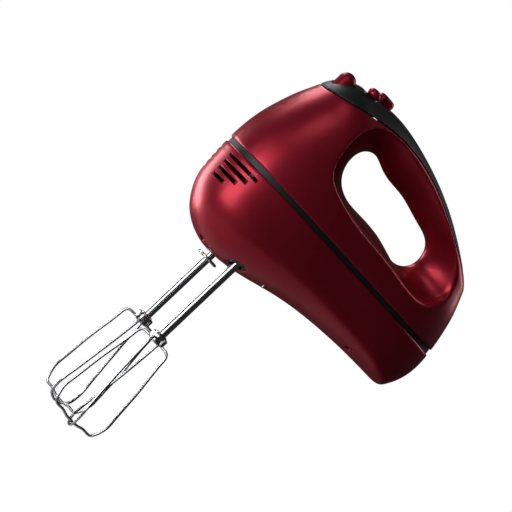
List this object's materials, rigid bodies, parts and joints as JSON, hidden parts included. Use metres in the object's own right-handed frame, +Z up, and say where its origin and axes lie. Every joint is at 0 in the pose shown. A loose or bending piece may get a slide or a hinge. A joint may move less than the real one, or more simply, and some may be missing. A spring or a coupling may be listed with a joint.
{
  "type": "hand mixer",
  "caption": "Hand-held electric mixer with a two-shell body, flared finger opening under a covered handle, thumb controls and a pair of ejectable wire beaters.",
  "frame": {"origin": "centre of the flat face of the heel pad, which the mixer can rest against", "axes": "+X out of the heel pad, away from the nose; +Y to the mixer's right side; +Z up to the handle, with the beaters pointing down -Z"},
  "size_m": [0.206, 0.0856, 0.2916],
  "materials": {
    "red_shell": "deep red ABS, moulded, high gloss",
    "black_cover": "black ABS, satin",
    "black_band": "black, satin",
    "black_rubber": "matte",
    "black_socket": "black nylon",
    "chromed_steel": "polished",
    "steel": "ground",
    "zinc_steel": "zinc plated",
    "die_cast": "as cast",
    "sintered_bronze": "sintered",
    "white_acetal": "natural acetal",
    "black_nylon": "glass filled nylon",
    "copper_winding": "enamelled copper",
    "carbon": "carbon graphite",
    "circuit_board": "phenolic paper board"
  },
  "bodies": {
    "housing": {"bottom_field_coil": "copper_winding", "bracket_screws": "zinc_steel", "cord_clamp": "black_nylon", "cord_inlet": "black_rubber", "cover_screws": "zinc_steel", "eject_spring": "zinc_steel", "eject_spring_seat": "black_nylon", "front_bearing": "steel", "gear_bracket": "die_cast", "heel_pad": "black_rubber", "housing_screws": "zinc_steel", "left_brush": "carbon", "left_brush_holder": "black_nylon", "left_lower_bush": "sintered_bronze", "left_socket_ring": "black_socket", "left_upper_bush": "sintered_bronze", "lower_housing": "red_shell", "middle_bearing": "steel", "motor_bolts": "zinc_steel", "rear_bearing": "steel", "rear_motor_bracket": "die_cast", "right_brush": "carbon", "right_brush_holder": "black_nylon", "right_lower_bush": "sintered_bronze", "right_socket_ring": "black_socket", "right_upper_bush": "sintered_bronze", "seam_band": "black_band", "speed_switch": "black_nylon", "stator_core": "steel", "switch_board": "circuit_board", "top_cover": "black_cover", "top_field_coil": "copper_winding", "turbo_spring": "zinc_steel", "turbo_switch": "black_nylon", "upper_housing": "red_shell"},
    "armature": {"motor_shaft": "steel", "worm": "steel", "cooling_fan": "black_nylon", "armature_core": "steel", "armature_windings": "copper_winding", "commutator": "copper_winding"},
    "left_drive": {"left_drive_gear": "white_acetal", "left_spindle": "steel"},
    "right_drive": {"right_drive_gear": "white_acetal", "right_spindle": "steel"},
    "left_beater": {"left_beater_shaft": "chromed_steel", "left_beater_hub": "chromed_steel", "left_beater_loop_1": "chromed_steel", "left_beater_loop_2": "chromed_steel"},
    "right_beater": {"right_beater_shaft": "chromed_steel", "right_beater_hub": "chromed_steel", "right_beater_loop_1": "chromed_steel", "right_beater_loop_2": "chromed_steel", "right_beater_collar": "chromed_steel"},
    "ejector": {"eject_button": "red_shell", "ejector_fork": "white_acetal"},
    "speed_control": {"speed_knob": "red_shell", "speed_slider": "black_nylon"},
    "turbo_control": {"turbo_button": "red_shell"}
  },
  "joints": [
    {"name": "motor_spin", "type": "hinge", "parent": "housing", "child": "armature", "pos_m": [-0.1502, 0, 0.005], "axis": [1, 0, 0], "continuous": true},
    {"name": "left_drive_spin", "type": "hinge", "parent": "housing", "child": "left_drive", "pos_m": [-0.1502, -0.019, 0.005], "axis": [0, 0, 1], "continuous": true},
    {"name": "right_drive_spin", "type": "hinge", "parent": "housing", "child": "right_drive", "pos_m": [-0.1502, 0.019, 0.005], "axis": [0, 0, 1], "continuous": true},
    {"name": "left_beater_slide", "type": "slide", "parent": "left_drive", "child": "left_beater", "axis": [0, 0, -1], "range_m": [0, 0.007]},
    {"name": "right_beater_slide", "type": "slide", "parent": "right_drive", "child": "right_beater", "axis": [0, 0, -1], "range_m": [0, 0.007]},
    {"name": "eject_press", "type": "slide", "parent": "housing", "child": "ejector", "axis": [0, 0, -1], "range_m": [0, 0.007], "stiffness_N_per_m": 400, "springref_m": -0.004, "deforming": ["eject_spring"]},
    {"name": "speed_slide", "type": "slide", "parent": "housing", "child": "speed_control", "axis": [0, 1, 0], "range_m": [0, 0.016]},
    {"name": "turbo_press", "type": "slide", "parent": "housing", "child": "turbo_control", "axis": [0, 0, -1], "range_m": [0, 0.003], "stiffness_N_per_m": 600, "springref_m": -0.001, "deforming": ["turbo_spring"]}
  ],
  "couplings": [
    {"joint": "left_drive_spin", "follows": "motor_spin", "ratio": 0.034483},
    {"joint": "right_drive_spin", "follows": "motor_spin", "ratio": -0.034483},
    {"joint": "right_beater_slide", "follows": "left_beater_slide", "ratio": 1},
    {"joint": "eject_press", "follows": "left_beater_slide", "ratio": 1}
  ]
}
